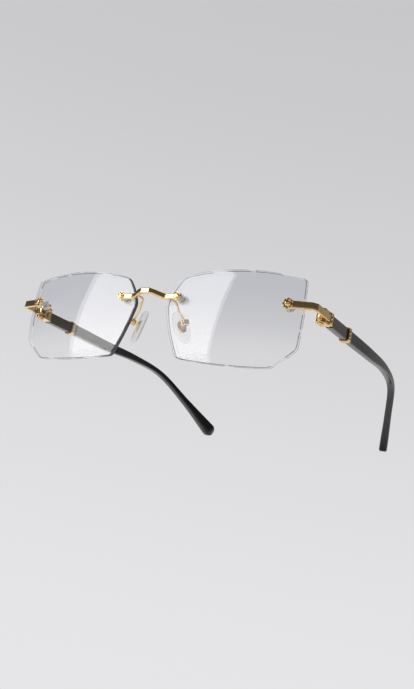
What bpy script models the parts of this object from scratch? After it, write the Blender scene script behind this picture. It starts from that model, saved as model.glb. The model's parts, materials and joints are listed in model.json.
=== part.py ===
# Rimless eyeglasses, standing open on a table on the lenses' lower edges and the temple tips.
# +X is the wearer's left, +Y runs back along the temples and +Z is up.
# Every paired piece is modelled on the +X side and mirrored for the other side.

import math

import bmesh
import bpy
from mathutils import Matrix, Vector

mm = 0.001

# Overall sizes
overall_width = 141.2 * mm  # across the outer faces of the end pieces
temple_length = 118.9 * mm  # straight back, from the cap to the end of the tip
fit_gap = 0.15 * mm  # between a fastener and what it fits
part_gap = 0.3 * mm  # between pieces that lie side by side

# Lenses, seen from the front: an edged hexagon with gently bowed sides
lens_width = 57.2 * mm
lens_apart = 15.0 * mm  # between the two lenses, at their nasal waists
lens_thickness = 2.0 * mm
lens_radius = 142.0 * mm  # of the curved faces
lens_wrap = math.radians(3.9)  # outer side turned back
lens_tilt = math.radians(2.7)  # lower side turned back
lens_side_top = 13.5 * mm  # ends of the straight outer side, above and below the centre
lens_side_bottom = 13.3 * mm
lens_waist = 2.4 * mm  # height of the nasal corner
lens_brow_cut = 6.1 * mm  # how far the upper nasal corner is cut in
lens_foot_cut = 8.2 * mm  # how far the lower nasal corner is cut in
lens_foot = 19.1 * mm
lens_chin_cut = 9.3 * mm  # how far the lower outer corner is cut in
lens_chin = 20.8 * mm
lens_corner = 1.3 * mm  # corner rounding
lens_bows = {"brow": 0.8, "top": 2.6, "side": 0.8, "chin": 0.3, "bottom": 1.15, "nose": 0.9}

# Fasteners through the lenses, measured along the hole from the lens's front face
mount_height = 3.0 * mm  # of the outer hole above the lens's centre
mount_inset = 4.8 * mm  # of the outer hole from the lens's outer side
bridge_mount_height = 4.7 * mm
bridge_mount_inset = 6.1 * mm  # of the nasal hole from the lens's nasal waist
lens_screw_radius = 0.6 * mm
lens_screw_head_radius = 1.2 * mm
lens_screw_head_height = 0.6 * mm
bushing_wall = 0.3 * mm
bushing_flange_radius = 1.55 * mm
bushing_flange = 0.25 * mm
washer_radius = 2.1 * mm
washer_thickness = 0.9 * mm
nut_radius = 1.3 * mm
nut_height = 1.5 * mm
nut_floor = 0.4 * mm
slot_width = 0.3 * mm

# Bridge
bridge_height = 2.35 * mm
bridge_depth = 1.5 * mm
bridge_eyelet_radius = 1.65 * mm
bridge_arm_half = 7.2 * mm  # where the flat arms end and the arch starts
bridge_crown_half = 2.7 * mm  # the flat top of the arch
bridge_arch_rise = 1.2 * mm
bridge_arch_forward = 2.9 * mm

# End pieces
bar_thickness = 1.2 * mm
bar_height = 2.95 * mm
bar_eyelet_radius = 2.15 * mm
bar_bend_radius = 2.2 * mm
bar_past_hinge = 0.2 * mm  # how far the bar runs on behind the barrel

# Hinges
hinge_back = 14.4 * mm  # pivot, behind the lens plane
hinge_inset = 2.5 * mm  # pivot, in from the outer face
barrel_radius = 2.1 * mm
barrel_height = 2.75 * mm
upper_flange_radius = 1.5 * mm
flange_thickness = 1.25 * mm
hinge_gap = 0.2 * mm  # above and below the bar, for the flanges
hinge_screw_radius = 0.7 * mm
hinge_screw_head_radius = 1.25 * mm
hinge_screw_head_height = 0.5 * mm
cap_thickness = 2.5 * mm
cap_width = 3.2 * mm
cap_height = 5.0 * mm
cap_gap = 0.5 * mm  # between the bar's rear end and the cap

# Temples: distance back as a share of the length, then inward, up, thickness and height
temple_stations = (
    (0.00, 0.0, 0.0, 2.9, 4.6),
    (0.18, 0.45, 0.6, 2.8, 4.8),
    (0.36, 0.75, 1.05, 2.7, 4.4),
    (0.54, 2.6, 1.8, 2.85, 3.1),
    (0.71, 6.5, -0.4, 3.1, 2.4),
    (0.86, 13.1, -9.8, 3.2, 3.1),
    (1.00, 19.7, -19.85, 3.8, 5.9),
)
temple_corner = 0.45 * mm
temple_tip_rounding = 3.4 * mm
temple_start_drop = 0.5 * mm  # of the temple's centre below the hinge's
core_radius = 0.65 * mm
core_length = 40.0 * mm
core_socket = 1.4 * mm  # depth of the core's hole in the cap
collar_back = 14.6 * mm  # front edge, behind the cap
collar_length = 2.4 * mm
collar_wall = 0.5 * mm

# Nose pads; the pad's own frame has its origin on its screw
pad_screw_place = Vector((12.6, 8.4, -2.9)) * mm  # from the lens plane and the lenses' centre height
pad_facing = Vector((-0.83, 0.53, -0.20))
pad_down = Vector((0.40, 0.19, -0.90))
pad_length = 14.4 * mm
pad_width = 7.0 * mm
pad_thickness = 2.3 * mm
pad_stand_off = 2.2 * mm
pad_low = 0.45 * mm  # the pad's centre below the screw
plate_length = 5.4 * mm
plate_width = 3.6 * mm
plate_thickness = 0.6 * mm
ear_width = 0.8 * mm
ear_radius = 0.8 * mm
pad_box_width = 2.4 * mm
pad_box_length = 2.3 * mm
pad_box_wall = 0.5 * mm
pad_box_reach = 0.9 * mm
pad_screw_radius = 0.35 * mm
pad_screw_head_radius = 1.05 * mm
pad_screw_head_height = 0.45 * mm
pad_wire_radius = 0.45 * mm
pad_wire_route = ((5.8, -0.75, 4.9), (5.9, 1.3, 5.2), (6.8, 4.0, 5.4), (8.3, 5.9, 4.6), (9.5, 6.8, 1.9))

round_steps = 16

# Places worked out from the sizes above
outer_face = overall_width / 2
lens_centre = lens_apart / 2 + lens_width / 2
plate_start = fit_gap + bushing_flange + fit_gap  # rear face of what is screwed on, ahead of the lens
bushing_bore = lens_screw_radius + fit_gap
lens_hole_radius = bushing_bore + bushing_wall + fit_gap
hinge_x = outer_face - hinge_inset
hinge_z = mount_height
flange_low = bar_height / 2 + hinge_gap
bar_end = hinge_back + barrel_radius + bar_past_hinge
cap_front = bar_end + cap_gap
temple_front = cap_front + cap_thickness + fit_gap


def clear_scene():
    for old in list(bpy.data.objects):
        bpy.data.objects.remove(old, do_unlink=True)


def make_material(name, colour, roughness, metallic=0.0, alpha=1.0):
    material = bpy.data.materials.new(name)
    material.use_nodes = True
    shader = material.node_tree.nodes["Principled BSDF"]
    shader.inputs["Base Color"].default_value = (*colour, 1.0)
    shader.inputs["Roughness"].default_value = roughness
    shader.inputs["Metallic"].default_value = metallic
    shader.inputs["Alpha"].default_value = alpha
    return material


def along(origin, x_axis, z_axis):
    # A frame at origin with the given +Z, and +X as near to x_axis as it allows.
    z = z_axis.normalized()
    x = (x_axis - z * x_axis.dot(z)).normalized()
    frame = Matrix((x, z.cross(x), z)).transposed().to_4x4()
    frame.translation = origin
    return frame


def lens_frame():
    place = Matrix.Translation((lens_centre, 0.0, 0.0))
    return place @ Matrix.Rotation(lens_tilt, 4, "X") @ Matrix.Rotation(lens_wrap, 4, "Z")


def lens_sag(across, up):
    return (across**2 + up**2) / (2 * lens_radius)


def on_lens(across, up):
    # The frame of a hole: origin on the lens's front face, +Z out to the front, +X to the outer side.
    origin = Vector((across, lens_sag(across, up), up))
    outward = Vector((across / lens_radius, -1.0, up / lens_radius))
    return lens_frame() @ along(origin, Vector((1.0, 0.0, 0.0)), outward)


outer_mount = on_lens(lens_width / 2 - mount_inset, mount_height)
nasal_mount = on_lens(bridge_mount_inset - lens_width / 2, bridge_mount_height)


def join_rings(rings):
    # A closed body through rings of equally many points; a ring may be a single point.
    shape = bmesh.new()
    made = [[shape.verts.new(point) for point in ring] for ring in rings]
    for near, far in zip(made, made[1:]):
        count = max(len(near), len(far))
        for i in range(count):
            j = (i + 1) % count
            corners = [near[i % len(near)], near[j % len(near)], far[j % len(far)], far[i % len(far)]]
            shape.faces.new(list(dict.fromkeys(corners)))
    for ring in (made[0], made[-1]):
        if len(ring) > 2:
            shape.faces.new(ring)
    bmesh.ops.recalc_face_normals(shape, faces=shape.faces)
    return shape


def turned(profile, frame, steps=round_steps):
    # The profile's (radius, height) points spun about the frame's Z; a profile off the axis is a ring.
    on_axis = profile[0][0] == 0.0
    shape = bmesh.new()
    rings = []
    for radius, height in profile:
        turns = [2 * math.pi * i / steps for i in range(steps if radius else 1)]
        rings.append([shape.verts.new(frame @ Vector((radius * math.cos(t), radius * math.sin(t), height)))
                      for t in turns])
    if not on_axis:
        rings.append(rings[0])
    for near, far in zip(rings, rings[1:]):
        for i in range(steps):
            j = (i + 1) % steps
            corners = [near[i % len(near)], near[j % len(near)], far[j % len(far)], far[i % len(far)]]
            shape.faces.new(list(dict.fromkeys(corners)))
    bmesh.ops.recalc_face_normals(shape, faces=shape.faces)
    return shape


def rod(radius, low, high, frame, steps=round_steps):
    return turned([(0.0, low), (radius, low), (radius, high), (0.0, high)], frame, steps)


def block(low, high, frame=Matrix.Identity(4)):
    shape = bmesh.new()
    middle = (Vector(low) + Vector(high)) / 2
    size = Vector(high) - Vector(low)
    to_size = frame @ Matrix.Translation(middle) @ Matrix.Diagonal((*size, 1.0))
    bmesh.ops.create_cube(shape, size=1.0, matrix=to_size)
    return shape


def knuckle(radius, reach, low, high, frame):
    # Half a barrel about the frame's Z, with a straight tongue out to reach along its X.
    turns = [math.pi / 2 + math.pi * i / round_steps for i in range(round_steps + 1)]
    outline = [Vector((radius * math.cos(t), radius * math.sin(t), 0.0)) for t in turns]
    outline += [Vector((reach, -radius, 0.0)), Vector((reach, radius, 0.0))]
    return join_rings([[frame @ Vector((p.x, p.y, height)) for p in outline] for height in (low, high)])


def rounded_rectangle(width, height, corner, steps=2):
    points = []
    for quarter in range(4):
        sign_x = (1, -1, -1, 1)[quarter]
        sign_y = (1, 1, -1, -1)[quarter]
        centre = Vector((sign_x * (width / 2 - corner), sign_y * (height / 2 - corner)))
        for i in range(steps + 1):
            turn = math.pi / 2 * (quarter + i / steps)
            points.append(centre + corner * Vector((math.cos(turn), math.sin(turn))))
    return points


def oval(width, length, steps=24):
    turns = [2 * math.pi * i / steps for i in range(steps)]
    return [Vector((width / 2 * math.cos(t), length / 2 * math.sin(t))) for t in turns]


def path_frames(path, up):
    # A frame at each point: +Z along the path, +Y as near to up as it allows.
    frames = []
    for i, point in enumerate(path):
        ahead = path[min(i + 1, len(path) - 1)] - path[max(i - 1, 0)]
        frames.append(along(point, up.cross(ahead), ahead))
    return frames


def swept(path, sections, up=Vector((0.0, 0.0, 1.0))):
    frames = path_frames(path, up)
    rings = [[frame @ point.to_3d() for point in ring] for frame, ring in zip(frames, sections)]
    return join_rings(rings)


def smooth_path(points, steps):
    # A curve through the points, with each one's direction taken from its neighbours.
    padded = [points[0] * 2 - points[1], *points, points[-1] * 2 - points[-2]]
    path = []
    for a, b, c, d in zip(padded, padded[1:], padded[2:], padded[3:]):
        for i in range(steps):
            t = i / steps
            path.append(0.5 * (2 * b + (c - a) * t + (2 * a - 5 * b + 4 * c - d) * t**2
                               + (3 * b - a - 3 * c + d) * t**3))
    return [*path, points[-1]]


def rounded_bend(start, corner, end, radius, steps=6):
    # A two-leg path whose corner is an arc of the given radius.
    into = (corner - start).normalized()
    out = (end - corner).normalized()
    turn = into.angle(out)
    leg = radius * math.tan(turn / 2)
    centre = corner - into * leg + (out - into * into.dot(out)).normalized() * radius
    spoke = corner - into * leg - centre
    axis = into.cross(out)
    arc = [centre + Matrix.Rotation(turn * i / steps, 3, axis) @ spoke for i in range(steps + 1)]
    return [start, *arc, end]


def solid(base, joins=(), cuts=()):
    # One mesh: the base with its joins added, then its cuts taken away.
    def temporary(shape):
        mesh = bpy.data.meshes.new("temporary")
        shape.to_mesh(mesh)
        shape.free()
        thing = bpy.data.objects.new("temporary", mesh)
        bpy.context.collection.objects.link(thing)
        return thing

    body = temporary(base)
    tools = []
    for operation, shapes in (("UNION", joins), ("DIFFERENCE", cuts)):
        for shape in shapes:
            tool = temporary(shape)
            tools.append(tool)
            step = body.modifiers.new(operation, "BOOLEAN")
            step.operation = operation
            step.solver = "EXACT"
            step.object = tool
    evaluated = body.evaluated_get(bpy.context.evaluated_depsgraph_get())
    mesh = bpy.data.meshes.new_from_object(evaluated)
    for thing in (body, *tools):
        bpy.data.objects.remove(thing, do_unlink=True)
    return mesh


def place(name, mesh, material, parent, side=1):
    # side is 1 on the wearer's left, and -1 mirrors the mesh to the right.
    mesh = mesh.copy()
    if side < 0:
        mesh.transform(Matrix.Scale(-1.0, 4, (1.0, 0.0, 0.0)))
        mesh.flip_normals()
    mesh.transform(Matrix.Translation(-parent.location))
    mesh.name = name
    mesh.materials.clear()
    mesh.materials.append(material)
    mesh.shade_smooth()
    mesh.set_sharp_from_angle(angle=math.radians(32))
    piece = bpy.data.objects.new(name, mesh)
    bpy.context.collection.objects.link(piece)
    piece.parent = parent
    return piece


def pivot(name, location):
    empty = bpy.data.objects.new(name, None)
    bpy.context.collection.objects.link(empty)
    empty.location = location
    return empty


def lens_outline():
    half = lens_width / 2
    corners = [
        ("brow", Vector((-half, lens_waist))),
        ("top", Vector((lens_brow_cut - half, lens_side_top))),
        ("side", Vector((half, lens_side_top))),
        ("chin", Vector((half, -lens_side_bottom))),
        ("bottom", Vector((half - lens_chin_cut, -lens_chin))),
        ("nose", Vector((lens_foot_cut - half, -lens_foot))),
    ]
    sides = []
    for i, (name, start) in enumerate(corners):
        end = corners[(i + 1) % len(corners)][1]
        run = end - start
        outward = Vector((-run.y, run.x)).normalized()
        trim = lens_corner / run.length
        steps = max(2, round(run.length / (6.5 * mm)))
        shares = [trim + (1 - 2 * trim) * j / steps for j in range(steps + 1)]
        bow = lens_bows[name] * mm
        sides.append([start + run * s + outward * bow * 4 * s * (1 - s) for s in shares])
    points = []
    for i, side in enumerate(sides):
        before = sides[i - 1][-1]
        corner = corners[i][1]
        points.append(0.25 * before + 0.5 * corner + 0.25 * side[0])
        points.extend(side)
    return points


def make_lens():
    outline = lens_outline()
    frame = lens_frame()
    rings = []
    for depth, shares in ((0.0, (0.0, 0.35, 0.7, 1.0)), (lens_thickness, (1.0, 0.7, 0.35, 0.0))):
        for share in shares:
            ring = [point * share for point in (outline if share else outline[:1])]
            rings.append([frame @ Vector((p.x, lens_sag(p.x, p.y) + depth, p.y)) for p in ring])
    holes = [rod(lens_hole_radius, -2 * lens_thickness, lens_thickness, mount)
             for mount in (outer_mount, nasal_mount)]
    return solid(join_rings(rings), cuts=holes)


def slot(frame, top, depth, reach):
    # A screwdriver slot across a head whose top is at the given height.
    return block((-reach, -slot_width / 2, top - depth), (reach, slot_width / 2, top + depth), frame)


def screw(frame, head_low, head_radius, head_height, shaft_radius, tip):
    edge = head_height / 3
    top = head_low + head_height
    profile = [(0.0, top), (head_radius - edge, top), (head_radius, top - edge), (head_radius, head_low),
               (shaft_radius, head_low), (shaft_radius, tip), (0.0, tip)]
    return solid(turned(profile, frame), cuts=[slot(frame, top, head_height / 2, 2 * head_radius)])


def make_lens_fastener(frame, plate_thickness):
    # The four pieces of one fastening, front to rear: screw, bushing, washer and cap nut.
    head_low = plate_start + plate_thickness + fit_gap
    washer_top = -lens_thickness - fit_gap
    washer_low = washer_top - washer_thickness
    nut_top = washer_low - fit_gap
    nut_low = nut_top - nut_height
    screw_tip = nut_low + nut_floor + fit_gap
    flange_top = fit_gap + bushing_flange
    sleeve = bushing_bore + bushing_wall
    sleeve_low = -lens_thickness + fit_gap
    edge = nut_height / 4
    bushing = [(bushing_bore, flange_top), (bushing_flange_radius, flange_top),
               (bushing_flange_radius, fit_gap), (sleeve, fit_gap), (sleeve, sleeve_low),
               (bushing_bore, sleeve_low)]
    washer = [(bushing_bore, washer_top), (washer_radius, washer_top), (washer_radius, washer_low),
              (bushing_bore, washer_low)]
    nut = [(0.0, nut_low), (nut_radius - edge, nut_low), (nut_radius, nut_low + edge),
           (nut_radius, nut_top), (bushing_bore, nut_top), (bushing_bore, nut_low + nut_floor),
           (0.0, nut_low + nut_floor)]
    return {
        "screw": screw(frame, head_low, lens_screw_head_radius, lens_screw_head_height,
                       lens_screw_radius, screw_tip),
        "bushing": solid(turned(bushing, frame)),
        "washer": solid(turned(washer, frame)),
        "nut": solid(turned(nut, frame)),
    }


def eyelet(frame, radius, thickness):
    return rod(radius, plate_start, plate_start + thickness, frame)


def eyelet_hole(frame, thickness):
    return rod(bushing_bore, plate_start - thickness, plate_start + 2 * thickness, frame)


def make_bridge():
    middle = plate_start + bridge_depth / 2
    end = nasal_mount @ Vector((0.0, 0.0, middle))
    rim = nasal_mount @ Vector((-1.4 * bridge_eyelet_radius, 0.0, middle))
    arm = Vector((bridge_arm_half, end.y, end.z))
    crown = Vector((0.0, end.y - bridge_arch_forward, end.z + bridge_arch_rise))
    brow = Vector((bridge_crown_half, crown.y * 0.97 + end.y * 0.03, crown.z * 0.97 + end.z * 0.03))
    half = [end, rim, rim.lerp(arm, 0.75), arm, arm.lerp(brow, 0.5), brow]
    flipped = [Vector((-p.x, p.y, p.z)) for p in reversed(half)]
    path = smooth_path([*half, crown, *flipped], 3)
    section = rounded_rectangle(bridge_depth, bridge_height, bridge_depth * 0.35)
    mirror = Matrix.Scale(-1.0, 4, (1.0, 0.0, 0.0))
    mounts = (nasal_mount, mirror @ nasal_mount)
    return solid(
        swept(path, [section] * len(path)),
        joins=[eyelet(mount, bridge_eyelet_radius, bridge_depth) for mount in mounts],
        cuts=[eyelet_hole(mount, bridge_depth) for mount in mounts],
    )


def hinge_frame():
    return Matrix.Translation((hinge_x, hinge_back, hinge_z))


def make_end_piece():
    start = outer_mount @ Vector((0.0, 0.0, plate_start + bar_thickness / 2))
    heading = outer_mount.to_3x3() @ Vector((1.0, 0.0, 0.0))
    run = (outer_face - bar_thickness / 2 - start.x) / heading.x
    corner = Vector((start.x + run * heading.x, start.y + run * heading.y, hinge_z))
    end = Vector((corner.x, bar_end, hinge_z))
    path = rounded_bend(Vector((start.x, start.y, hinge_z)), corner, end, bar_bend_radius)
    section = rounded_rectangle(bar_thickness, bar_height, bar_thickness / 5, 1)
    frame = hinge_frame()
    return solid(
        swept(path, [section] * len(path)),
        joins=[eyelet(outer_mount, bar_eyelet_radius, bar_thickness),
               knuckle(barrel_radius, hinge_inset - bar_thickness / 2, -barrel_height / 2, barrel_height / 2,
                       frame)],
        cuts=[eyelet_hole(outer_mount, bar_thickness),
              rod(hinge_screw_radius + fit_gap, -bar_height, bar_height, frame)],
    )


def temple_axis_start():
    return Vector((outer_face - temple_stations[0][3] * mm / 2, temple_front, hinge_z - temple_start_drop))


def temple_points():
    start = temple_axis_start()
    return [start + Vector((-inward * mm, back * temple_length, up * mm))
            for back, inward, up, _, _ in temple_stations]


def core_frame():
    # Along the straight front stretch of the temple, from the temple's front face.
    points = temple_points()
    return along(points[0], Vector((1.0, 0.0, 0.0)), points[1] - points[0])


def make_temple_cap():
    frame = hinge_frame()
    back = cap_front - hinge_back
    plate = block((hinge_inset - cap_width, back, -cap_height / 2),
                  (hinge_inset, back + cap_thickness, cap_height / 2), frame)
    rearward = frame @ Matrix.Rotation(math.pi / 2, 4, "Z")
    flanges = ((barrel_radius, -flange_low - flange_thickness), (upper_flange_radius, flange_low))
    joins = [knuckle(radius, back + cap_thickness / 2, low, low + flange_thickness, rearward)
             for radius, low in flanges]
    reach = flange_low + 2 * flange_thickness
    core = core_frame()
    socket = rod(core_radius + fit_gap, -core_socket - fit_gap, cap_thickness, core)
    bore = rod(hinge_screw_radius + fit_gap, -reach, reach, frame)
    return solid(plate, joins=joins, cuts=[socket, bore])


def make_hinge_screw():
    # Put in from below: its frame's +Z points down.
    frame = hinge_frame() @ Matrix.Rotation(math.pi, 4, "X")
    outside = flange_low + flange_thickness
    return screw(frame, outside + fit_gap, hinge_screw_head_radius, hinge_screw_head_height,
                 hinge_screw_radius, -outside)


def make_temple():
    path = smooth_path(temple_points(), 4)
    sizes = smooth_path([Vector((thick, tall)) * mm for *_, thick, tall in temple_stations], 4)
    last, last_size = path[-1], sizes[-1]
    heading = (last - path[-2]).normalized()
    for turn in map(math.radians, (22.5, 45.0, 67.5, 83.0)):
        path.append(last + heading * temple_tip_rounding * math.sin(turn))
        sizes.append(last_size * math.cos(turn))
    sections = [rounded_rectangle(size.x, size.y, min(temple_corner, size.x * 0.3)) for size in sizes]
    bore = rod(core_radius + fit_gap, -cap_thickness, core_length + fit_gap, core_frame(), 12)
    return solid(swept(path, sections), cuts=[bore])


def make_core():
    return solid(rod(core_radius, -core_socket, core_length, core_frame(), 12))


def make_collar():
    share = (collar_back + collar_length / 2) / (temple_length * temple_stations[1][0])
    first, second = temple_stations[0], temple_stations[1]
    thick, tall = ((first[i] + (second[i] - first[i]) * share) * mm for i in (3, 4))
    frame = core_frame()
    shapes = []
    for grow, spare in ((fit_gap + collar_wall, 0.0), (fit_gap, part_gap)):
        section = rounded_rectangle(thick + 2 * grow, tall + 2 * grow, temple_corner + grow)
        rings = [[frame @ Vector((p.x, p.y, height)) for p in section]
                 for height in (collar_back - spare, collar_back + collar_length + spare)]
        shapes.append(join_rings(rings))
    return solid(shapes[0], cuts=[shapes[1]])


def pad_frame():
    # +Z faces the nose, +Y points up along the pad, and the pad's screw lies along X.
    down = pad_down.normalized()
    facing = (pad_facing - down * pad_facing.dot(down)).normalized()
    return along(pad_screw_place, facing.cross(down), facing)


def upright(points, frame, height, low=0.0, scale=1.0):
    return [frame @ Vector((p.x * scale, p.y * scale - low, height)) for p in points]


def make_nose_pad():
    frame = pad_frame()
    outline = oval(pad_width, pad_length)
    levels = ((0.0, 0.82), (0.2, 0.96), (0.5, 1.0), (0.8, 0.96), (1.0, 0.82))
    rings = [upright(outline, frame, pad_stand_off + pad_thickness * level, pad_low, scale)
             for level, scale in levels]
    pocket = oval(plate_width + 2 * fit_gap, plate_length + 2 * fit_gap)
    floor = pad_stand_off + fit_gap + plate_thickness + fit_gap
    cut = join_rings([upright(pocket, frame, 0.0), upright(pocket, frame, floor)])
    return solid(join_rings(rings), cuts=[cut])


def make_pad_plate():
    frame = pad_frame()
    outline = oval(plate_width, plate_length)
    low = pad_stand_off + fit_gap
    plate = join_rings([upright(outline, frame, height) for height in (low, low + plate_thickness)])
    sideways = frame @ Matrix.Rotation(math.pi / 2, 4, "Y")
    ear = rod(ear_radius, -ear_width / 2, ear_width / 2, sideways)
    neck = block((-ear_width / 2, -ear_radius, 0.0),
                 (ear_width / 2, ear_radius, low + plate_thickness / 2), frame)
    bore = rod(pad_screw_radius + fit_gap, -ear_width, ear_width, sideways)
    return solid(plate, joins=[ear, neck], cuts=[bore])


def make_pad_box():
    frame = pad_frame()
    half = pad_box_width / 2
    back = -ear_radius - part_gap
    outer = block((-half, -pad_box_length / 2, back - pad_box_wall),
                  (half, pad_box_length / 2, pad_box_reach), frame)
    channel_half = ear_width / 2 + part_gap
    channel = block((-channel_half, -pad_box_length, back),
                    (channel_half, pad_box_length, 2 * pad_box_reach), frame)
    bore = rod(pad_screw_radius + fit_gap, -pad_box_width, pad_box_width,
               frame @ Matrix.Rotation(math.pi / 2, 4, "Y"))
    return solid(outer, cuts=[channel, bore])


def make_pad_screw():
    # The head is on the front side of the box.
    frame = pad_frame() @ Matrix.Rotation(math.pi / 2, 4, "Y")
    half = pad_box_width / 2
    return screw(frame, half + fit_gap, pad_screw_head_radius, pad_screw_head_height, pad_screw_radius, -half)


def make_pad_arm():
    frame = pad_frame()
    end = frame @ Vector((0.0, pad_box_length / 2 + fit_gap + pad_wire_radius / 2, 0.0))
    route = [Vector(point) * mm for point in pad_wire_route]
    path = smooth_path([*route, end.lerp(route[-1], 0.45), end], 4)
    section = oval(2 * pad_wire_radius, 2 * pad_wire_radius, 10)
    return solid(swept(path, [section] * len(path), Vector((1.0, 0.0, 0.0))))


def stand_on_origin(root):
    # The origin is under the middle of the whole object, on the surface that it stands on.
    bpy.context.view_layer.update()
    corners = [piece.matrix_world @ vertex.co for piece in bpy.data.objects if piece.type == "MESH"
               for vertex in piece.data.vertices]
    low = Vector([min(corner[axis] for corner in corners) for axis in range(3)])
    high = Vector([max(corner[axis] for corner in corners) for axis in range(3)])
    root.location = -Vector(((low.x + high.x) / 2, (low.y + high.y) / 2, low.z))


def build_glasses():
    gold = make_material("gold", (0.83, 0.61, 0.29), 0.14, metallic=1.0)
    horn = make_material("dark_horn", (0.035, 0.030, 0.028), 0.32)
    glass = make_material("tinted_lens", (0.72, 0.74, 0.78), 0.03, alpha=0.35)
    clear = make_material("clear_plastic", (0.85, 0.84, 0.83), 0.2, alpha=0.6)
    silicone = make_material("clear_silicone", (0.90, 0.90, 0.90), 0.35, alpha=0.5)
    steel = make_material("steel", (0.56, 0.57, 0.58), 0.3, metallic=1.0)

    root = pivot("glasses", Vector((0.0, 0.0, 0.0)))
    fixed = {"lens": (make_lens(), glass), "end_piece": (make_end_piece(), gold)}
    fastenings = (("end", outer_mount, bar_thickness), ("bridge", nasal_mount, bridge_depth))
    for role, mount, thickness in fastenings:
        for piece, mesh in make_lens_fastener(mount, thickness).items():
            fixed[f"{role}_{piece}"] = (mesh, clear if piece in ("bushing", "washer") else gold)
    fixed["pad_arm"] = (make_pad_arm(), gold)
    fixed["pad_box"] = (make_pad_box(), gold)
    fixed["pad_screw"] = (make_pad_screw(), gold)
    folding = {
        "temple_cap": (make_temple_cap(), gold),
        "hinge_screw": (make_hinge_screw(), gold),
        "temple": (make_temple(), horn),
        "temple_core": (make_core(), steel),
        "collar": (make_collar(), gold),
    }
    rocking = {"pad_plate": (make_pad_plate(), gold), "nose_pad": (make_nose_pad(), silicone)}

    place("bridge", make_bridge(), gold, root)
    for word, side in (("left", 1), ("right", -1)):
        hinge = pivot(f"{word}_hinge_axis", Vector((side * hinge_x, hinge_back, hinge_z)))
        rocker = pivot(f"{word}_pad_axis", Vector((side * pad_screw_place.x, *pad_screw_place.yz)))
        for parent, pieces in ((root, fixed), (hinge, folding), (rocker, rocking)):
            for name, (mesh, material) in pieces.items():
                place(f"{word}_{name}", mesh, material, parent, side)
        hinge.parent = root
        rocker.parent = root
    stand_on_origin(root)


clear_scene()
build_glasses()
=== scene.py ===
import json
import math

import bmesh
import bpy
from mathutils import Matrix, Vector


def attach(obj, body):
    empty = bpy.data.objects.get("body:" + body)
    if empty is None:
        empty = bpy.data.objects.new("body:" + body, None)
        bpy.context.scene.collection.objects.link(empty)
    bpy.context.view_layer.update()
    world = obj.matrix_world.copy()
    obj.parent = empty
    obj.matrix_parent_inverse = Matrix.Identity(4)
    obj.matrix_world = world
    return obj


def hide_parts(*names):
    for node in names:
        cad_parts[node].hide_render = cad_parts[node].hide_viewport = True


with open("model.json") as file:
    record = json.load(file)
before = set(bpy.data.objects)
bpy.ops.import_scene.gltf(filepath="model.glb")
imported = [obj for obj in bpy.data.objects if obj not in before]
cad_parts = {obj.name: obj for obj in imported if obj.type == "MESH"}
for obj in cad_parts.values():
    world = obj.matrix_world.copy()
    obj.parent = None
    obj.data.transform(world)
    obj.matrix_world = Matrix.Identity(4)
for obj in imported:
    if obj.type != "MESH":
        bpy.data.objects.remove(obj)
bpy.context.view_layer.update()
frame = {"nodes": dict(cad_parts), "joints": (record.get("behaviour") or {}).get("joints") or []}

mm = 0.001
upwards = Vector((0, 0, 1))

# Every piece is made on the wearer's left and mirrored. Its sizes are from the lens plane, the middle
# and the lenses' centre height, and `shift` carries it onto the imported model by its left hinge.
hinge = {"across": 68.1, "back": 14.4, "up": 3.0}
leftFold = next(joint for joint in frame["joints"] if joint["name"] == "left_temple_fold")
hingePlace = Vector((hinge["across"], hinge["back"], hinge["up"])) * mm
shift = Vector(leftFold["pos_m"]) - hingePlace
sides = {"left": 1, "right": -1}


class Link:
    # A value that runs between nodes. Arithmetic on it adds Math nodes.
    def __init__(self, tree, socket):
        self.tree = tree
        self.socket = socket

    def maths(self, operation, first, second):
        node = self.tree.nodes.new("ShaderNodeMath")
        node.operation = operation
        for place, value in zip(node.inputs, (first, second)):
            if isinstance(value, Link):
                self.tree.links.new(value.socket, place)
            else:
                place.default_value = value
        return Link(self.tree, node.outputs[0])

    def __add__(self, other):
        return self.maths("ADD", self, other)

    __radd__ = __add__

    def __sub__(self, other):
        return self.maths("SUBTRACT", self, other)

    def __rsub__(self, other):
        return self.maths("SUBTRACT", other, self)

    def __mul__(self, other):
        return self.maths("MULTIPLY", self, other)

    __rmul__ = __mul__

    def __pow__(self, other):
        return self.maths("POWER", self, other)


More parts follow.
